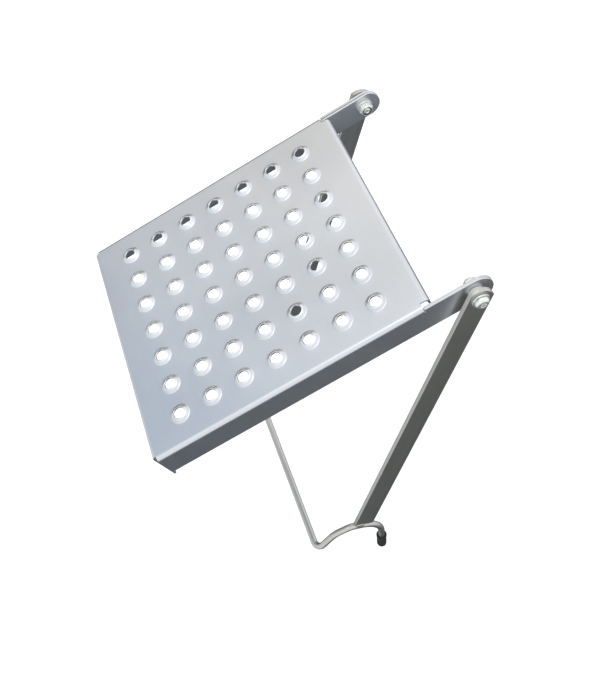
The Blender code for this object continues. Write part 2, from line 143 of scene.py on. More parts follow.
@dataclass
class Bench:
    """Adds nodes to one node tree, a material's or a world's."""

    tree: bpy.types.NodeTree

    def node(
        self,
        kind: str,
        settings: dict[str, Any] | None = None,
        sockets: dict[int | str, Any] | None = None,
        output: int | str = 0,
    ) -> Value:
        """Adds one node.

        Args:
            kind: the node's type.
            settings: its own settings, set first.
            sockets: values or links of its inputs, by name or number.
            output: the output that the result stands for.

        Returns:
            That output, ready for arithmetic.
        """
        made = self.tree.nodes.new(kind)
        for name, setting in (settings or {}).items():
            setattr(made, name, setting)
        for name, value in (sockets or {}).items():
            if isinstance(value, Value):
                self.tree.links.new(value.socket, made.inputs[name])
            else:
                made.inputs[name].default_value = value
        return Value(self, made.outputs[output])

    def sink(self, kind: str, name: str, value: Value) -> None:
        """Adds an output node and feeds its input of that name."""
        made = self.tree.nodes.new(kind)
        self.tree.links.new(value.socket, made.inputs[name])

    def mix(self, share: Value | float, first: Any, second: Any) -> Value:
        """Mixes two colours or links: a share of 0 is the first, 1 the second."""
        ends = [(*end, 1.0) if isinstance(end, tuple) else end for end in (first, second)]
        sockets = {0: share, 6: ends[0], 7: ends[1]}
        return self.node("ShaderNodeMix", {"data_type": "RGBA"}, sockets, output=2)

    def between(self, value: Value, low: float, high: float) -> Value:
        """Turns a value's run from low to high into a smooth run from 0 to 1."""
        settings = {"interpolation_type": "SMOOTHSTEP"}
        sockets = {"Value": value, "From Min": low, "From Max": high}
        return self.node("ShaderNodeMapRange", settings, sockets)

    def stretched(self, place: Value, factors: Colour) -> Value:
        """Scales a place by a factor along each axis."""
        return self.node("ShaderNodeVectorMath", {"operation": "MULTIPLY"}, {0: place, 1: factors})

    def place(self) -> Value:
        """The place on the object, in metres."""
        return self.node("ShaderNodeTexCoord", output="Object")

    def tones(self, share: Value, colour: Colour, dark: float, bright: float) -> Value:
        """A colour between a darker and a brighter shade of itself."""
        return self.mix(share, *(tuple(min(1.0, f * c) for c in colour) for f in (dark, bright)))

    def noise(self, place: Value, scale: float, detail: float, roughness: float = 0.5) -> Value:
        """Soft noise from 0 to 1, with its scale in waves in a metre."""
        sockets = {"Vector": place, "Scale": scale, "Detail": detail, "Roughness": roughness}
        return self.node("ShaderNodeTexNoise", {}, sockets)


# Finishes


@dataclass(frozen=True)
class Finish:
    """A finish: a Principled material with what changes over its surface."""

    name: str
    slot: Slot
    colour: Colour
    metallic: float
    roughness: float
    constants: tuple[tuple[str, float], ...] = ()

    def surface(self, bench: Bench) -> dict[str, Any]:
        """What changes over the surface.

        Args:
            bench: the material's nodes.

        Returns:
            Values or links of the shader's inputs by name, such as colour and roughness.
        """
        raise NotImplementedError

    def relief(self, bench: Bench, height: Value, strength: float, depth: float) -> Value:
        """The normal of a height from 0 to 1 that is some metres deep."""
        sockets = {"Strength": strength, "Distance": depth, "Height": height}
        return bench.node("ShaderNodeBump", {}, sockets)

    def material(self) -> bpy.types.Material:
        """Makes the material once, and finds it after that."""
        found = bpy.data.materials.get(self.name)
        if found:
            return found
        made = bpy.data.materials.new(self.name)
        made.use_nodes = True
        made.node_tree.nodes.clear()
        bench = Bench(made.node_tree)
        sockets: dict[int | str, Any] = {
            "Base Color": (*self.colour, 1.0),
            "Metallic": self.metallic,
            "Roughness": self.roughness,
            **dict(self.constants),
            **self.surface(bench),
        }
        shader = bench.node("ShaderNodeBsdfPrincipled", {}, sockets)
        bench.sink("ShaderNodeOutputMaterial", "Surface", shader)
        return made


@dataclass(frozen=True)
class SilverSheet(Finish):
    """Satin silver coat on the folded sheet, with a painted highlight on the tops of the dimples'
    rims.
    """

    rim_height: float = 0.0335
    rim_depth: float = 0.0006

    def surface(self, bench: Bench) -> dict[str, Any]:
        """Slow clouds in the coat, fine flakes, rubbed streaks, and a painted highlight on the
        dimples' rims.
        """
        place = bench.place()
        height = bench.node("ShaderNodeSeparateXYZ", {}, {0: place}, output="Z")
        cloud = bench.noise(place, 7.0, 3.0)
        rubbed = bench.noise(bench.stretched(place, (55.0, 260.0, 55.0)), 1.0, 4.0, 0.6)
        flake = bench.noise(place, 1500.0, 1.0)
        # The rim mask marks the top band of each dimple's rim, where a highlight is painted into the
        # colour.
        rim = bench.between(height, self.rim_height - self.rim_depth, self.rim_height)
        base = bench.tones(bench.between(cloud, 0.3, 0.7), self.colour, 0.93, 1.05)
        base = bench.mix(bench.between(flake, 0.35, 0.75) * 0.16, base, (0.88, 0.90, 0.93))
        # Painted highlight: the rims' tops are mixed towards a paler silver and made smoother below.
        base = bench.mix(rim * 0.5, base, (0.90, 0.91, 0.92))
        roughness = self.roughness + (cloud - 0.5) * 0.08 + (rubbed - 0.5) * 0.10 - rim * 0.10
        return {
            "Base Color": base,
            "Roughness": roughness,
            "Normal": self.relief(bench, flake + cloud * 2.0, 0.10, 0.0004),
        }


@dataclass(frozen=True)
class SilverBar(Finish):
    """Silver coat on rolled bar, with faint drawing lines along it."""

    def surface(self, bench: Bench) -> dict[str, Any]:
        """Lines along the bar, a few darker patches and a fine grain."""
        place = bench.node("ShaderNodeAttribute", {"attribute_name": "bar_place"}, output="Vector")
        lines = bench.noise(bench.stretched(place, (600.0, 600.0, 9.0)), 1.0, 2.0, 0.5)
        patch = bench.noise(place, 26.0, 3.0)
        grain = bench.noise(place, 1300.0, 1.0)
        base = bench.tones(bench.between(lines, 0.2, 0.8), self.colour, 0.95, 1.05)
        base = bench.mix(bench.between(patch, 0.45, 0.8) * 0.25, base, (0.42, 0.405, 0.36))
        roughness = self.roughness + (lines - 0.5) * 0.06 + (patch - 0.5) * 0.10
        return {
            "Base Color": base,
            "Roughness": roughness,
            "Normal": self.relief(bench, lines * 0.5 + grain * 0.3, 0.05, 0.0002),
        }


@dataclass(frozen=True)
class BrightZinc(Finish):
    """Bright zinc on bolts, nuts, washers and spacers."""

    def surface(self, bench: Bench) -> dict[str, Any]:
        """Uneven plating: slightly warm and cool spots, and small dull marks."""
        place = bench.place()
        tint = bench.noise(place, 160.0, 2.0)
        mark = bench.noise(place, 620.0, 4.0, 0.65)
        base = bench.mix(bench.between(tint, 0.3, 0.7), self.colour, (0.84, 0.85, 0.79))
        base = bench.mix(bench.between(mark, 0.58, 0.8) * 0.5, base, (0.48, 0.49, 0.48))
        return {
            "Base Color": base,
            "Roughness": self.roughness + (mark - 0.5) * 0.22,
            "Normal": self.relief(bench, mark, 0.12, 0.0002),
        }


@dataclass(frozen=True)
class MouldedBlack(Finish):
    """Black rubber or nylon as it comes out of a mould, a little dusty."""

    dust: Colour = (0.10, 0.10, 0.095)

    def surface(self, bench: Bench) -> dict[str, Any]:
        """Fine mould grain and a thin film of dust."""
        place = bench.place()
        grain = bench.noise(place, 2100.0, 2.0, 0.6)
        film = bench.noise(place, 120.0, 4.0, 0.6)
        base = bench.mix(bench.between(film, 0.5, 0.85) * 0.3, self.colour, self.dust)
        return {
            "Base Color": base,
            "Roughness": self.roughness + (film - 0.5) * 0.25,
            "Normal": self.relief(bench, grain, 0.3, 0.0003),
        }


SHEET_FINISH = SilverSheet("silver_coated_sheet", Slot.SHEET, (0.72, 0.73, 0.745), 0.90, 0.38)
BAR_FINISH = SilverBar("silver_coated_bar", Slot.BAR, (0.60, 0.585, 0.54), 0.90, 0.38)
ZINC_FINISH = BrightZinc("bright_zinc", Slot.ZINC, (0.86, 0.88, 0.86), 0.75, 0.28)
RUBBER_FINISH = MouldedBlack("black_rubber", Slot.RUBBER, (0.012, 0.012, 0.012), 0.0, 0.52)
NYLON_FINISH = MouldedBlack("lock_nylon", Slot.NYLON, (0.020, 0.024, 0.034), 0.0, 0.38)


# Mesh making


def arc(centre: Point, radius: float, start: float, end: float, steps: int) -> list[Point]:
    """Points of an arc from one angle to another in degrees, both ends included."""
    angles = [math.radians(start + (end - start) * k / steps) for k in range(steps + 1)]
    return [(centre[0] + radius * math.cos(a), centre[1] + radius * math.sin(a)) for a in angles]


def rounded(profile: Sequence[Point], radius: float, closed: bool, steps: int = 3) -> list[Point]:
    """Rounds the corners of a profile.

    Args:
        profile: the corners in order.
        radius: the rounding, cut to a third of the shorter side beside a corner.
        closed: whether the last corner runs on to the first.
        steps: pieces of each rounding.

    Returns:
        The rounded profile.
    """
    corners = [Vector(corner) for corner in profile]
    count = len(corners)
    points: list[Point] = []
    for k, corner in enumerate(corners):
        if not closed and k in (0, count - 1):
            points.append(tuple(corner))
            continue
        before = corners[k - 1] - corner
        after = corners[(k + 1) % count] - corner
        reach = min(radius, before.length / 3, after.length / 3)
        first = corner + before.normalized() * reach
        last = corner + after.normalized() * reach
        points += map(tuple, bent(first, corner, last, steps))
    return points


def bent(first: Vector, corner: Vector, last: Vector, steps: int) -> list[Vector]:
    """Points of a curve that leaves one place and reaches another towards a corner."""
    shares = [step / steps for step in range(steps + 1)]
    return [first * (1 - t) ** 2 + corner * (2 * t * (1 - t)) + last * t**2 for t in shares]


def circle(radius: float, sides: int) -> list[Point]:
    """Points of a circle, the first on the first axis."""
    return arc((0.0, 0.0), radius, 0.0, 360.0 * (sides - 1) / sides, sides - 1)


def hexagon_radius(across_flats: float, angle: float) -> float:
    """Distance from the centre of a hexagon to its edge at an angle, a corner lying at 0."""
    turned = math.remainder(angle - math.pi / 6, math.pi / 3)
    return across_flats / 2 / math.cos(turned)


@dataclass
class Shape:
    """One mesh under construction."""

    name: str
    mesh: bmesh.types.BMesh = field(default_factory=bmesh.new)

    def loop(self, places: Iterable[Iterable[float]]) -> Loop:
        """Adds a row of points."""
        return [self.mesh.verts.new(tuple(place)) for place in places]

    def bridge(self, first: Loop, second: Loop) -> None:
        """Joins two closed rows of points of one length."""
        for k in range(len(first)):
            after = (k + 1) % len(first)
            self.mesh.faces.new((first[k], first[after], second[after], second[k]))

    def skin(self, loops: list[Loop], joined: bool) -> None:
        """Skins closed rows of points of one length.

        Args:
            loops: the rows in order.
            joined: True joins the last row to the first, False caps both ends.
        """
        pairs = list(zip(loops, loops[1:]))
        if joined:
            pairs.append((loops[-1], loops[0]))
        else:
            self.mesh.faces.new(loops[0])
            self.mesh.faces.new(loops[-1])
        for first, second in pairs:
            self.bridge(first, second)

    def lathe(self, profile: Sequence[Point], sides: int, joined: bool) -> None:
        """Turns a profile of (along X, radius) points about X, joined for a ring."""
        loops = [self.loop((x, *place) for place in circle(r, sides)) for x, r in profile]
        self.skin(loops, joined)

    def plate(self, outline: list[Point], bore: float, start: float, thickness: float) -> None:
        """Extrudes a (y, z) outline along X from its start, with a bore round the local X axis."""
        edges = []
        for points in (outline, circle(bore, BORE_SIDES)):
            loop = self.loop((start, *point) for point in points)
            edges += [self.mesh.edges.new(pair) for pair in zip(loop, loop[1:] + loop[:1])]
        bmesh.ops.triangle_fill(self.mesh, use_beauty=True, edges=edges, normal=(-1, 0, 0))
        made = bmesh.ops.extrude_face_region(self.mesh, geom=list(self.mesh.faces))
        moved = [item for item in made["geom"] if isinstance(item, bmesh.types.BMVert)]
        bmesh.ops.translate(self.mesh, vec=(thickness, 0, 0), verts=moved)

    def finished(
        self,
        finish: Finish,
        matrix: Matrix | None = None,
        sharp_above: float = 38.0,
        rounding: float = 0.0,
    ) -> bpy.types.Object:
        """Turns the mesh into an object.

        Args:
            finish: its finish.
            matrix: the move from its own axes to the row frame, put into the mesh.
            sharp_above: edges that turn by more than this many degrees stay sharp.
            rounding: the bevel put on those edges, in metres.

        Returns:
            The object, linked to the scene.
        """
        if matrix is not None:
            bmesh.ops.transform(self.mesh, matrix=matrix, verts=self.mesh.verts)
        bmesh.ops.recalc_face_normals(self.mesh, faces=self.mesh.faces)
        limit = math.radians(sharp_above)
        for face in self.mesh.faces:
            face.smooth = True
        for edge in self.mesh.edges:
            edge.smooth = rounding > 0.0 or edge.calc_face_angle(0.0) < limit
        data = bpy.data.meshes.new(self.name)
        self.mesh.to_mesh(data)
        self.mesh.free()
        data.materials.append(finish.material())
        made = bpy.data.objects.new(self.name, data)
        bpy.context.scene.collection.objects.link(made)
        if rounding > 0.0:
            self.bevel(made, rounding, sharp_above)
        return made

    @staticmethod
    def bevel(made: bpy.types.Object, width: float, angle: float) -> None:
        """Rounds an object's edges that turn by more than some degrees."""
        bevel = made.modifiers.new("rounded_edges", "BEVEL")
        bevel.limit_method = "ANGLE"
        bevel.angle_limit = math.radians(angle)
        bevel.width = width
        bevel.segments = 2
        flat = made.modifiers.new("flat_faces", "WEIGHTED_NORMAL")
        flat.weight = 100


RIM_SIDES = 64
BORE_SIDES = 48


def settle(piece: bpy.types.Object, body: Body, slot: Slot, *nodes: str) -> None:
    """Puts a piece on its body, in place of the frame's own nodes."""
    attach(piece, body.value)
    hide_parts(*nodes)
    LOG.info("%s rides on %s", piece.name, body.value)


# Deck


@dataclass
class Deck:
    """The folded sheet: raised holes, rounded folds, rear lip, notched front and two arms."""

    pivot: Vector
    sheet: float = 0.002
    bend_radius: float = 0.0045
    pitch: float = 0.035
    holes: int = 7
    rearward: float = 0.0015  # the holes' pattern from the deck's middle
    dimple_radius: float = 0.0105
    dimple_height: float = 0.0031
    hole_radius: float = 0.0057
    hole_sides: int = 40
    dimple_rings: int = 8
    length: float = 0.293
    notch_width: float = 0.008
    notch_length: float = 0.0086
    slit: float = 0.0008
    flange_trim: float = 0.005
    arm_step: float = 0.001
    bend_steps: int = 8
    arm_end_steps: int = 32
    bore: float = 0.0043
    edge_rounding: float = 0.0003

    def __post_init__(self) -> None:
        """Reads the sheet's place from the frame."""
        low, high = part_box("deck_pan")
        self.half_width = high.x
        self.rear = high.y
        self.front = self.rear - self.length
        self.top = high.z - self.dimple_height
        self.fold = self.top - self.bend_radius
        self.lip = low.z
        self.arm_height = self.top - self.arm_step
        self.arm_end = (low.y + self.arm_height / 2, self.arm_height / 2)
        self.notch_x = self.half_width - self.notch_width
        self.notch_y = self.front + self.notch_length
        self.arm_root = self.notch_y - self.slit
        self.trim_x = self.notch_x - self.flange_trim
        self.shape = Shape("deck_sheet")
        self.shared: dict[tuple[float, ...], bmesh.types.BMVert] = {}

    def point(self, x: float, y: float, z: float) -> bmesh.types.BMVert:
        """The shared point at a place."""
        key = (round(x, 6), round(y, 6), round(z, 6))
        if key not in self.shared:
            self.shared[key] = self.shape.mesh.verts.new((x, y, z))
        return self.shared[key]

    def face(self, *places: Sequence[float]) -> None:
        """One face through some places."""
        self.shape.mesh.faces.new([self.point(*place) for place in places])

    def centres(self, middle: float) -> list[float]:
        """Centres of one row of holes about a middle."""
        return [middle + (k - (self.holes - 1) / 2) * self.pitch for k in range(self.holes)]

    def angles(self) -> list[float]:
        """Angles of the points round a hole, starting at a corner of its square."""
        return [math.pi / 4 + 2 * math.pi * k / self.hole_sides for k in range(self.hole_sides)]

    def square(self, angle: float) -> Point:
        """Where a ray at an angle meets the edge of a hole's square."""
        across, along = math.cos(angle), math.sin(angle)
        reach = self.pitch / 2 / max(abs(across), abs(along))
        return across * reach, along * reach

    def rise(self, share: float) -> float:
        """Height of a dimple, from its foot at 0 to the hole's edge at 1."""
        return self.dimple_height * (0.5 - 0.5 * math.cos(math.pi * share**0.85))

    def dimple(self, x: float, y: float) -> None:
        """One raised hole at a centre, with the flat sheet of its square."""
        rings = [[(x + a, y + b, self.top) for a, b in map(self.square, self.angles())]]
        slope = self.dimple_radius - self.hole_radius
        for k in range(self.dimple_rings + 1):
            share = k / self.dimple_rings
            radius = self.dimple_radius - slope * share
            height = self.top + self.rise(share)
            turned = ((math.cos(a) * radius, math.sin(a) * radius) for a in self.angles())
            rings.append([(x + a, y + b, height) for a, b in turned])
        for outer, inner in zip(rings, rings[1:]):
            for k in range(self.hole_sides):
                after = (k + 1) % self.hole_sides
                self.face(outer[k], outer[after], inner[after], inner[k])

    def lines(self, middles: list[float], extra: list[float]) -> list[float]:
        """Grid lines through the edges of the holes' squares and some more places."""
        quarter = self.hole_sides // 4
        offsets = [self.square(-math.pi / 4 + math.pi / 2 * k / quarter)[1] for k in range(quarter)]
        found = [middle + offset for middle in middles for offset in offsets]
        found.append(middles[-1] + self.pitch / 2)
        return sorted(found + extra)

    def border(self, across: list[float], along: list[float], block: tuple[float, ...]) -> None:
        """The plain sheet round the block of holes.

        Args:
            across: grid lines across the deck.
            along: grid lines along it.
            block: the block's low and high edges, across and then along.
        """
        tiny = 1e-6
        for x0, x1 in zip(across, across[1:]):
            for y0, y1 in zip(along, along[1:]):
                x, y = (x0 + x1) / 2, (y0 + y1) / 2
                in_block = block[0] < x < block[1] and block[2] < y < block[3]
                notched = y < self.notch_y - tiny and abs(x) > self.notch_x
                if not in_block and not notched:
                    corners = ((x0, y0), (x1, y0), (x1, y1), (x0, y1))
                    self.face(*((a, b, self.top) for a, b in corners))

    def strip(self, lines: list[float], section: Callable[[float], list[Any]]) -> None:
        """A row of faces along some lines, at each of which it has a section."""
        for a, b in zip(lines, lines[1:]):
            first, second = section(a), section(b)
            for k in range(len(first) - 1):
                self.face(first[k], second[k], second[k + 1], first[k + 1])

    def folded(self, edge: float, sign: int, depth: float | None) -> list[Point]:
        """A folded side's (outward, height) points, down to a depth or only to the fold."""
        centre = edge - sign * self.bend_radius
        turned = arc((0.0, self.fold), self.bend_radius, 90, 0, self.bend_steps)
        section = [(centre + sign * outward, height) for outward, height in turned]
        if depth is not None:
            section.append((edge, depth))
        return section

    def arm(self, sign: int) -> None:
        """One side flange's run past the front, with its round end and the pivot's bore."""
        mesh = self.shape.mesh
        x = sign * self.half_width
        outline = [(self.notch_y, 0.0), (self.notch_y, self.fold)]
        outline += [(self.arm_root, self.fold), (self.arm_root, self.arm_height)]
        outline += arc(self.arm_end, self.arm_height / 2, 90, 270, self.arm_end_steps)
        bore = [(self.pivot.y + a, self.pivot.z + b) for a, b in circle(self.bore, BORE_SIDES)]
        edges = []
        for points in (outline, bore):
            loop = [self.point(x, y, z) for y, z in points]
            for pair in zip(loop, loop[1:] + loop[:1]):
                edges.append(mesh.edges.get(pair) or mesh.edges.new(pair))
        bmesh.ops.triangle_fill(mesh, use_beauty=True, edges=edges, normal=(sign, 0, 0))

    def build(self) -> None:
        """Builds the outer skin, gives it the sheet's thickness and rounds its edges."""
        across_middles = self.centres(0.0)
        along_middles = self.centres((self.rear + self.front) / 2 + self.rearward)
        for x in across_middles:
            for y in along_middles:
                self.dimple(x, y)
        flat_x = self.half_width - self.bend_radius
        signs = (-1, 1)
        extra = [s * x for s in signs for x in (self.trim_x, self.notch_x, flat_x)]
        across = self.lines(across_middles, extra)
        flat_rear, flat_front = self.rear - self.bend_radius, self.front + self.bend_radius
        along = self.lines(along_middles, [flat_front, self.notch_y, flat_rear])
        half = self.pitch / 2
        ends = ((0, -half), (-1, half))
        block = tuple(row[k] + edge for row in (across_middles, along_middles) for k, edge in ends)
        self.border(across, along, block)
        for sign in signs:
            side = self.folded(sign * self.half_width, sign, 0.0)
            self.strip(along[1:], lambda y, side=side: [(x, y, z) for x, z in side])
            self.arm(sign)
        rear = self.folded(self.rear, 1, self.lip)
        self.strip(across, lambda x: [(x, y, z) for y, z in rear])
        front = self.folded(self.front, -1, None)
        notched = [x for x in across if abs(x) < self.notch_x + self.slit]
        self.strip(notched, lambda x: [(x, y, z) for y, z in front])
        trimmed = [x for x in across if abs(x) < self.trim_x + self.slit]
        self.strip(trimmed, lambda x: [(x, self.front, z) for z in (self.fold, 0.0)])
        self.dress()

    def dress(self) -> None:
        """Thickens the skin inwards, rounds its cut edges and puts it on the platform."""
        piece = self.shape.finished(SHEET_FINISH, sharp_above=180.0)
        if max(piece.data.polygons, key=lambda f: f.center.z).normal.z < 0:
            piece.data.flip_normals()
        sheet = piece.modifiers.new("sheet", "SOLIDIFY")
        sheet.thickness = self.sheet
        sheet.offset = -1
        sheet.use_even_offset = True
        sheet.use_quality_normals = True
        Shape.bevel(piece, self.edge_rounding, 60.0)
        settle(piece, Body.PLATFORM, Slot.SHEET, "deck_pan")


@dataclass
class ArmPlates:
    """The flat bars that double the arms on their inner faces, stepped down under the fold."""

    pivot: Vector
    thickness: float = 0.0025
    length: float = 0.110  # behind the pivot
    top_step: float = 0.0014  # from the arm's top edge down to the plate's
    gap: float = 0.0003
    bore: float = 0.0043
    end_steps: int = 32
    edge_rounding: float = 0.0004

    def build(self, deck: Deck) -> None:
        """Builds both plates against the deck's arms."""
        half = deck.arm_height / 2
        top = half - self.top_step
        rear_top = deck.fold - self.gap - self.pivot.z
        root = deck.arm_root - self.pivot.y
        shoulder = math.degrees(math.acos(top / half))
        end = (deck.arm_end[0] - self.pivot.y, 0.0)
        outline = arc(end, half, 90 + shoulder, 270, self.end_steps)
        outline += [(self.length, -half), (self.length, rear_top), (root, rear_top), (root, top)]
        for side in Side:
            name = f"arm_plate_{side.label}"
            shape = Shape(f"arm_doubler_{side.label}")
            shape.plate(outline, self.bore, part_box(name)[0].x, self.thickness)
            place = Matrix.Translation((0, self.pivot.y, self.pivot.z))
            piece = shape.finished(SHEET_FINISH, place, rounding=self.edge_rounding)
            settle(piece, Body.PLATFORM, Slot.SHEET, name)


# Pivots


@dataclass
class Pivot:
    """One pivot: button-head bolt, two washers, spacer and lock nut with its nylon ring."""

    side: Side
    pivot: Vector
    shank: float = 0.004
    bore: float = 0.0043
    head: float = 0.007
    head_height: float = 0.0044
    crown_share: float = 0.50
    socket_flats: float = 0.005
    socket_depth: float = 0.0026
    thread_pitch: float = 0.00125
    thread_depth: float = 0.0006
    thread_length: float = 0.0050
    nut_chamfer: float = 0.0010
    insert_gap: float = 0.0003
    collar_height: float = 0.0018
    collar_margin: float = 0.0004  # from the collar to the hexagon's flats
    cone_margin: float = 0.0003  # from the chamfer's cone to the flats
    nut_lip: float = 0.0002
    washer_rounding: float = 0.00035
    ring_rounding: float = 0.0003
    head_lip: float = 0.0005
    countersink: float = 1.12  # the socket's rim to its flats
    socket_tip: float = 0.12  # the drill point's radius to the flats
    dish_shares: Point = (0.25, 0.45)  # the hollow in the bolt's tip to its shank
    sides: int = 72
    thread_steps: int = 28
    dome_steps: int = 9
    nut_steps: int = 5

    def place(self) -> Matrix:
        """The pivot's place, mirrored for the left side."""
        turn = Matrix.Identity(4) if self.side is Side.RIGHT else Matrix.Rotation(math.pi, 4, "Z")
        return Matrix.Translation((0, self.pivot.y, self.pivot.z)) @ turn

    def reach(self, node: str) -> tuple[float, float]:
        """How near and how far a node lies from the deck's middle, along X."""
        low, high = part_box(f"{node}_{self.side.label}")
        ends = sorted((abs(low.x), abs(high.x)))
        return ends[0], ends[1]

    def name(self, word: str) -> str:
        """A piece's name with its side."""
        return f"{word}_{self.side.label}"

    def settle(self, shape: Shape, finish: Finish, node: str, sharp_above: float = 38.0) -> None:
        """Finishes a shape and puts it on the platform in place of this side's node."""
        piece = shape.finished(finish, self.place(), sharp_above)
        settle(piece, Body.PLATFORM, finish.slot, self.name(node))

    def ring(self, word: str, node: str, rounding: float, finish: Finish) -> None:
        """A washer, a spacer or the nut's nylon ring, with rounded rims."""
        near, far = self.reach(node)
        low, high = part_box(self.name(node))
        outer = (high.z - low.z) / 2
        profile = [(near, self.bore), (near, outer), (far, outer), (far, self.bore)]
        shape = Shape(self.name(word))
        shape.lathe(rounded(profile, rounding, closed=True), self.sides, joined=True)
        self.settle(shape, finish, node)

    def radial(self, x: float, radius: Radius) -> list[tuple[float, ...]]:
        """A ring of points at one X, whose radius may depend on the angle."""
        angles = [2 * math.pi * k / self.sides for k in range(self.sides)]
        reach = radius if callable(radius) else lambda a: radius
        return [(x, reach(a) * math.cos(a), reach(a) * math.sin(a)) for a in angles]

    def turned(
        self, word: str, node: str, rows: list[tuple[float, Radius]], joined: bool, sharp: float
    ) -> None:
        """A zinc piece turned about the pivot.

        Args:
            word: the piece's name.
            node: the frame's node.
            rows: (along X, radius) of each ring of points in order.
            joined: True for a ring, whose rows run back to their start.
            sharp: edges that turn by more than this many degrees stay sharp.
        """
        shape = Shape(self.name(word))
        shape.skin([shape.loop(self.radial(x, radius)) for x, radius in rows], joined)
        self.settle(shape, ZINC_FINISH, node, sharp)

    @staticmethod
    def hexagon(flats: float, limit: float = math.inf) -> Radius:
        """The radius of a hexagon, held within a cone's radius."""
        return lambda angle: min(hexagon_radius(flats, angle), limit)

    def thread(self, x: float, tip: float) -> Radius:
        """The radius of the thread at one X, whose groove winds round the shank from the tip."""

        def radius(angle: float) -> float:
            """The shank's radius at an angle, with the groove cut in it."""
            wave = abs(2 * ((x / self.thread_pitch + angle / (2 * math.pi)) % 1.0) - 1)
            fade = min(1.0, (self.thread_length - (x - tip)) / self.thread_pitch)
            return self.shank - self.thread_depth * wave * max(0.0, fade)

        return radius

    def bolt(self) -> None:
        """The bolt: chamfered tip, thread, shank, domed head and hexagon socket."""
        tip, crown = self.reach("pivot_bolt")
        seat = crown - self.head_height
        chamfer, lip = self.thread_depth, self.head_lip
        rows: list[tuple[float, Radius]] = [
            (tip + chamfer, self.shank * self.dish_shares[0]),
            (tip, self.shank * self.dish_shares[1]),
            (tip, self.shank - 2 * chamfer),
        ]
        for k in range(self.thread_steps + 1):
            x = tip + chamfer + (self.thread_length - chamfer) * k / self.thread_steps
            rows.append((x, self.thread(x, tip)))
        rows += [(seat, self.shank), (seat, self.head - lip), (seat + lip, self.head)]
        dome = self.head_height - 2 * lip
        for k in range(self.dome_steps + 1):
            turn = math.pi / 2 * k / self.dome_steps
            share = self.crown_share + (1 - self.crown_share) * math.cos(turn)
            rows.append((seat + 2 * lip + dome * math.sin(turn), self.head * share))
        rim = self.socket_flats * self.countersink
        floor = crown - self.socket_depth
        rows += [
            (crown, self.hexagon(rim)),
            (crown - (rim - self.socket_flats) / 2, self.hexagon(self.socket_flats)),
            (floor, self.hexagon(self.socket_flats)),
            (floor - lip, self.socket_flats * self.socket_tip),
        ]
        self.turned("button_bolt", "pivot_bolt", rows, joined=False, sharp=34.0)

    def nut(self) -> None:
        """The lock nut: chamfered hexagon, rounded collar and the pocket for its nylon ring."""
        collar_end, seat = self.reach("lock_nut")
        low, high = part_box(self.name("lock_nut"))
        flats = high.z - low.z
        hexagon_end = collar_end + self.collar_height
        corner = flats / math.sqrt(3)
        cone = flats / 2 - self.cone_margin
        collar = flats / 2 - self.collar_margin
        low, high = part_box(self.name("nut_insert"))
        pocket = (high.z - low.z) / 2 + self.insert_gap
        inner = pocket + self.nut_lip
        rows: list[tuple[float, Radius]] = [(seat, self.bore + self.collar_margin)]
        shares = [k / self.nut_steps for k in range(self.nut_steps + 1)]
        for end, sign, order in ((seat, -1, shares), (hexagon_end, 1, shares[::-1])):
            for share in order:
                limit = cone + (corner - cone) * share
                rows.append((end + sign * self.nut_chamfer * share, self.hexagon(flats, limit)))
        for share in shares:
            turn = math.pi / 2 * share
            x = hexagon_end - self.collar_height * math.sin(turn)
            rows.append((x, inner + (collar - inner) * math.cos(turn)))
        rows += [(collar_end + self.nut_lip, pocket), (hexagon_end, pocket), (hexagon_end, self.bore)]
        self.turned("lock_nut_shell", "lock_nut", rows, joined=True, sharp=24.0)

    def build(self) -> None:
        """Builds the pivot's pieces."""
        self.bolt()
        self.ring("washer_under_head", "head_washer", self.washer_rounding, ZINC_FINISH)
        self.ring("washer_under_nut", "nut_washer", self.washer_rounding, ZINC_FINISH)
        self.ring("pivot_spacer", "spacer", self.ring_rounding, ZINC_FINISH)
        self.nut()
        self.ring("nylon_ring", "nut_insert", self.ring_rounding, NYLON_FINISH)


# Support frame


def mark_bar(shape: Shape) -> None:
    """Stores each point's own place, along whose Z the bar finish draws its lines."""
    layer = shape.mesh.verts.layers.float_vector.new("bar_place")
    for vert in shape.mesh.verts:
        vert[layer] = vert.co


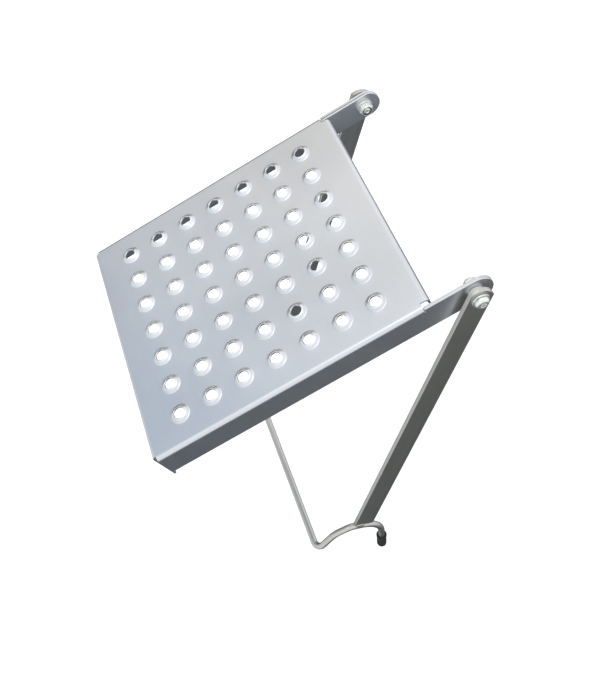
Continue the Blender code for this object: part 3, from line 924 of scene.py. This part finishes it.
@dataclass
class Support:
    """The frame that turns on the pivots: two flat struts, one round bar, caps and welds."""

    pivot: Vector
    lean: float = 38.0  # degrees from straight down, towards the ladder
    strut_width: float = 0.024
    strut_length: float = 0.3915
    crown_radius: float = 0.015
    crown_drop: float = 0.003  # from the pivot to the centre of the crown's curve
    crown_steps: int = 24
    bore: float = 0.0043
    strut_edge: float = 0.0006
    rod_radius: float = 0.004
    rod_sides: int = 28
    gap: float = 0.0003
    saddle_inner: float = 0.016
    saddle_outer: float = 0.025
    crest_length: float = 0.020
    return_length: float = 0.035
    drop_length: float = 0.066
    crest_turn: float = 31.0
    return_turn: float = 65.0
    drop_turn: float = 108.0
    crest_bend: float = 0.020
    drop_bend: float = 0.038
    cross_bend: float = 0.012
    bend_step: float = 5.0
    cap_wall: float = 0.0021
    cap_length: float = 0.026
    cap_end: float = 0.003
    cap_lip: float = 0.0030
    cap_lip_slope: float = 0.0012
    cap_lip_rise: float = 0.0004
    cap_rounding: float = 0.0030
    cap_setback: float = 0.00015  # keeps its tip within the frame's box
    cap_sides: int = 40
    weld_length: float = 0.010  # from the strut's middle towards the ladder
    weld_touch: float = 0.00006
    weld_toe: float = 24.0  # degrees round the bar
    weld_leg: float = 0.0029
    weld_belly: Point = (0.0007, 0.0002)
    weld_taper: Point = (0.35, 5.0)  # the ends' height and how fast they rise
    ripple: float = 0.00022
    ripples: int = 6
    weld_steps: int = 36
    weld_section_steps: int = 8
    weld_under_steps: int = 4

    def __post_init__(self) -> None:
        """Reads the struts' place from the frame and sets the frame's own axes."""
        low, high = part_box("strut_right")
        self.strut_inner, self.strut_outer = low.x, high.x
        self.middle = (low.x + high.x) / 2
        turn = Matrix.Rotation(math.radians(self.lean), 4, "X")
        self.place = Matrix.Translation((0, self.pivot.y, self.pivot.z)) @ turn

    def settle(self, shape: Shape, finish: Finish, node: str, rounding: float = 0.0) -> None:
        """Finishes a shape in the strut's own axes and puts it on the support frame."""
        piece = shape.finished(finish, self.place, rounding=rounding)
        settle(piece, Body.SUPPORT, finish.slot, node)

    def strut(self, side: Side) -> None:
        """One flat strut: crowned round the bolt, square at the foot."""
        half = self.strut_width / 2
        shoulder = math.degrees(math.acos(half / self.crown_radius))
        centre = (0.0, -self.crown_drop)
        outline = arc(centre, self.crown_radius, shoulder, 180 - shoulder, self.crown_steps)
        outline += [(-half, -self.strut_length), (half, -self.strut_length)]
        shape = Shape(f"flat_strut_{side.label}")
        start = self.strut_inner if side is Side.RIGHT else -self.strut_outer
        shape.plate(outline, self.bore, start, self.strut_outer - self.strut_inner)
        mark_bar(shape)
        self.settle(shape, BAR_FINISH, f"strut_{side.label}", self.strut_edge)

    def downwards(self, turn: float) -> Vector:
        """A direction turned down from the line of the strut's foot, in degrees."""
        angle = math.radians(turn)
        return Vector((0, math.cos(angle), -math.sin(angle)))

    def corners(self) -> tuple[Vector, Vector, Vector, Vector]:
        """Corners of one end of the round bar, in the strut's axes at the middle of the bar."""
        seat = Vector((0, 0, -self.strut_length - self.gap - self.rod_radius))
        outer = seat - Vector((0, self.saddle_outer, 0))
        inner = seat + Vector((0, self.saddle_inner, 0))
        crest = inner + self.downwards(self.crest_turn) * self.crest_length
        corner = crest + self.downwards(self.return_turn) * self.return_length
        return outer, inner, crest, corner

    def route(self) -> list[Vector]:
        """The round bar's centre line, from one end to the other."""
        outer, inner, crest, corner = self.corners()
        reach = self.drop_length - self.cap_end - self.gap
        half = [
            (outer + self.downwards(self.drop_turn) * reach, 0.0),
            (outer, self.drop_bend),
            (inner, self.crest_bend),
            (crest, self.crest_bend),
            (corner, self.cross_bend),
        ]
        shift = Vector((self.middle, 0, 0))
        stops = [(place + shift, bend) for place, bend in half]
        stops += [(place - shift, bend) for place, bend in reversed(half)]
        path = [stops[0][0]]
        for (before, _), (stop, bend), (after, _) in zip(stops, stops[1:], stops[2:]):
            back = (before - stop).normalized()
            ahead = (after - stop).normalized()
            turn = math.pi - back.angle(ahead)
            reach = bend * math.tan(turn / 2)
            centre = stop + (back + ahead).normalized() * (bend / math.cos(turn / 2))
            start = stop + back * reach - centre
            axis = start.cross(stop + ahead * reach - centre).normalized()
            steps = max(2, math.ceil(math.degrees(turn) / self.bend_step))
            path += [centre + Quaternion(axis, turn * k / steps) @ start for k in range(steps + 1)]
        path.append(stops[-1][0])
        return path

    def rod(self) -> None:
        """The round bar, swept along its route, with a place along and round it at each point."""
        path = self.route()
        shape = Shape("round_hook_bar")
        layer = shape.mesh.verts.layers.float_vector.new("bar_place")
        ahead = (path[1] - path[0]).normalized()
        across = ahead.cross(Vector((1, 0, 0))).normalized()
        loops = []
        run = 0.0
        for k, place in enumerate(path):
            before = path[max(k - 1, 0)]
            after = path[min(k + 1, len(path) - 1)]
            turned = (after - before).normalized()
            across = ahead.rotation_difference(turned) @ across
            ahead = turned
            other = ahead.cross(across)
            run += (place - before).length
            spots = circle(self.rod_radius, self.rod_sides)
            loop = shape.loop(place + across * a + other * b for a, b in spots)
            for vert, (a, b) in zip(loop, spots):
                vert[layer] = (a, b, run)
            loops.append(loop)
        shape.skin(loops, joined=False)
        self.settle(shape, BAR_FINISH, "hook_rod")

    def cap(self, side: Side) -> None:
        """The rubber sleeve on one end of the round bar, with a lip at its mouth."""
        bore = self.rod_radius + self.gap
        wall = bore + self.cap_wall
        waist = wall - self.cap_lip_rise
        floor = self.cap_length - self.cap_end
        tip = self.cap_length - self.cap_setback
        profile = [
            (floor, self.cap_lip_rise),
            (floor, bore),
            (0.0, bore),
            (0.0, wall),
            (self.cap_lip, wall),
            (self.cap_lip + self.cap_lip_slope, waist),
            (tip, waist),
            (tip, self.cap_lip_rise),
        ]
        smooth = rounded(profile, self.cap_rounding, closed=False, steps=6)
        shape = Shape(f"rubber_cap_{side.label}")
        shape.lathe(smooth, self.cap_sides, joined=False)
        direction = self.downwards(self.drop_turn)
        start = self.corners()[0] + direction * (self.drop_length - self.cap_length)
        start += Vector((side.value * self.middle, 0, 0))
        turn = Vector((1, 0, 0)).rotation_difference(direction).to_matrix().to_4x4()
        place = Matrix.Translation(start) @ turn
        bmesh.ops.transform(shape.mesh, matrix=place, verts=shape.mesh.verts)
        self.settle(shape, RUBBER_FINISH, f"end_cap_{side.label}")

    def weld(self, side: Side, word: str) -> None:
        """One rippled fillet weld on the outer or inner face of a strut's foot."""
        sign = side.value if word == "outer" else -side.value
        face = (self.strut_outer - self.strut_inner) / 2 + self.weld_touch
        radius = self.rod_radius + self.weld_touch
        root = math.acos(face / radius)
        toe = math.radians(self.weld_toe)
        end_height, climb = self.weld_taper
        out, up = self.weld_belly
        shape = Shape(f"fillet_{word}_{side.label}")
        seat = self.corners()[0].z
        loops = []
        for k in range(self.weld_steps + 1):
            share = k / self.weld_steps
            y = share * self.weld_length
            taper = min(1.0, end_height + climb * min(share, 1 - share)) ** 0.5
            wave = self.ripple * abs(math.sin(math.pi * self.ripples * share)) * taper
            top = Vector((face, radius * math.sin(root) + self.weld_leg * taper))
            foot_turn = root + (toe - root) * taper
            turns = (foot_turn, root)
            under = arc((0.0, 0.0), radius, *map(math.degrees, turns), self.weld_under_steps)
            foot = Vector(under[0])
            belly = (top + foot) / 2 + Vector((out * taper + wave, up + wave))
            outer = bent(top, belly, foot, self.weld_section_steps)
            section = outer + [Vector(point) for point in under[1:]]
            loops.append(shape.loop((sign * p.x, y, seat + p.y) for p in section))
        shape.skin(loops, joined=False)
        shift = Vector((side.value * self.middle, 0, 0))
        bmesh.ops.translate(shape.mesh, vec=shift, verts=shape.mesh.verts)
        mark_bar(shape)
        self.settle(shape, BAR_FINISH, f"weld_{word}_{side.label}")

    def build(self) -> None:
        """Builds the support frame's pieces."""
        self.rod()
        for side in Side:
            self.strut(side)
            self.cap(side)
            for word in ("outer", "inner"):
                self.weld(side, word)


# Studio


def aimed(
    name: str, data: bpy.types.ID, place: Sequence[float], aim: Sequence[float], roll: float = 0.0
) -> bpy.types.Object:
    """Puts a light or a camera in its place, facing the aim and rolled by some degrees."""
    made = bpy.data.objects.new(name, data)
    bpy.context.scene.collection.objects.link(made)
    made.location = place
    look = (Vector(aim) - made.location).to_track_quat("-Z", "Y")
    made.rotation_mode = "QUATERNION"
    made.rotation_quaternion = look @ Quaternion((0, 0, 1), math.radians(roll))
    return made


@dataclass
class Lamp:
    """One soft white panel light."""

    name: str
    place: tuple[float, float, float]
    size: Point
    power: float

    def build(self, aim: Vector) -> None:
        """Builds the light, which faces the aim."""
        data = bpy.data.lights.new(self.name, "AREA")
        data.shape = "RECTANGLE"
        data.size, data.size_y = self.size
        data.energy = self.power
        aimed(self.name, data, self.place, aim)


@dataclass
class Studio:
    """Pale floor, soft light from above and the camera."""

    floor_drop: float = 0.085  # below the caps, clear of the frame however it swings
    floor_size: float = 60.0
    rim_reaches: Point = (28.0, 39.2)
    rim_rise: float = 12.0
    sky: Colour = (0.86, 0.92, 0.95)
    warm_sky: Colour = (1.12, 1.02, 0.90)
    cool_sky: Colour = (0.26, 0.42, 0.64)
    front_sky: Colour = (1.06, 1.07, 1.15)
    near_sky: Colour = (1.05, 1.08, 1.12)
    zenith: Colour = (1.30, 1.30, 1.30)
    ground: Colour = (0.070, 0.074, 0.066)
    cool_ground: Colour = (0.030, 0.046, 0.056)
    far_ground: Colour = (0.055, 0.072, 0.108)
    camera_place: tuple[float, float, float] = (-0.585, -0.307, 0.718)
    camera_aim: tuple[float, float, float] = (-0.063, -0.196, 0.0)
    camera_roll: float = -39.5
    lens: float = 47.7
    shift: Point = (-0.030, -0.054)

    def paper(self, shape: Shape, shadow: bool) -> None:
        """Makes a stage of pale paper that doesn't show in the metal."""
        made = shape.finished(PAPER_FINISH)
        made.visible_glossy = False
        made.visible_diffuse = False
        made.visible_shadow = shadow

    def floor(self) -> None:
        """A wide pale floor, and a slope round it that only the camera sees."""
        level = CAD_BOX[0].z - self.floor_drop
        half = self.floor_size / 2
        shape = Shape("studio_floor")
        corners = ((-half, -half), (half, -half), (half, half), (-half, half))
        shape.mesh.faces.new(shape.loop((x, y, level) for x, y in corners))
        self.paper(shape, shadow=True)
        rim = Shape("studio_rim")
        rings = [
            rim.loop((*point, height) for point in circle(reach, RIM_SIDES))
            for reach, height in zip(self.rim_reaches, (level, level + self.rim_rise))
        ]
        rim.bridge(*rings)
        self.paper(rim, shadow=False)

    def world(self) -> None:
        """Soft light: pale above, warm on the far side, cool behind, dark below the horizon."""
        world = bpy.data.worlds.new("soft_studio")
        bpy.context.scene.world = world
        world.use_nodes = True
        world.node_tree.nodes.clear()
        bench = Bench(world.node_tree)
        direction = bench.node("ShaderNodeTexCoord", output="Generated")
        across, along, height = (
            bench.node("ShaderNodeSeparateXYZ", {}, {0: direction}, output=axis) for axis in "XYZ"
        )
        above = self.sky
        for reading, low, high, colour in (
            (across, 0.45, 0.80, self.warm_sky),
            (along, -0.15, -0.60, self.front_sky),
            (across, -0.20, -0.60, self.near_sky),
            (height, 0.84, 0.99, self.zenith),
        ):
            above = bench.mix(bench.between(reading, low, high), above, colour)
        behind = bench.between(along - across * 0.4, -0.10, 0.06) * bench.between(across, 0.1, 0.45)
        behind = behind * bench.between(height, 0.50, 0.70)
        above = bench.mix(behind, above, self.cool_sky)
        below = bench.mix(bench.between(along, 0.05, 0.40), self.ground, self.cool_ground)
        below = bench.mix(bench.between(across, -0.58, -0.70), below, self.far_ground)
        glow = bench.between(along, 0.0, -1.0) * 1.15 + bench.between(along, 0.55, 0.80) * 0.8
        raised = height + glow - across * 0.5
        colour = bench.mix(bench.between(raised, -0.05, 0.35), below, above)
        light = bench.node("ShaderNodeBackground", {}, {"Color": colour, "Strength": 1.0})
        bench.sink("ShaderNodeOutputWorld", "Surface", light)

    def camera(self) -> None:
        """The camera."""
        data = bpy.data.cameras.new("studio_camera")
        data.lens = self.lens
        data.shift_x, data.shift_y = self.shift
        data.clip_start = 0.01
        place, aim, roll = self.camera_place, self.camera_aim, self.camera_roll
        bpy.context.scene.camera = aimed("studio_camera", data, place, aim, roll)

    def build(self) -> None:
        """Builds floor, lights and camera."""
        self.floor()
        self.world()
        middle = (CAD_BOX[0] + CAD_BOX[1]) / 2
        for lamp in LAMPS:
            lamp.build(middle)
        self.camera()
        bpy.context.scene.view_settings.view_transform = "Standard"


@dataclass(frozen=True)
class Paper(Finish):
    """Pale studio paper."""

    def surface(self, bench: Bench) -> dict[str, Any]:
        """A faint fibre in the paper."""
        fibre = bench.noise(bench.place(), 300.0, 2.0)
        paper = bench.mix(fibre, (0.93, 0.93, 0.93), (0.95, 0.95, 0.95))
        return {"Base Color": paper, "Emission Color": paper}


PAPER_GLOW = (("Emission Strength", 0.35),)
PAPER_FINISH = Paper("studio_paper", Slot.SHEET, (0.94, 0.94, 0.94), 0.0, 0.9, PAPER_GLOW)
LAMPS = (
    Lamp("overhead_panel", (0.0, -0.70, 1.6), (1.0, 1.0), 4.0),
    Lamp("front_panel", (-0.9, -2.0, 1.2), (0.8, 0.8), 0.25),
)


def main() -> None:
    """Builds the sub-assemblies in order."""
    logging.basicConfig(level=logging.INFO, format="%(name)s: %(message)s")
    pivot = Vector(frame["joints"][0]["pos_m"])
    deck = Deck(pivot)
    deck.build()
    ArmPlates(pivot).build(deck)
    for side in Side:
        Pivot(side, pivot).build()
    Support(pivot).build()
    Studio().build()


if __name__ == "__main__":
    main()
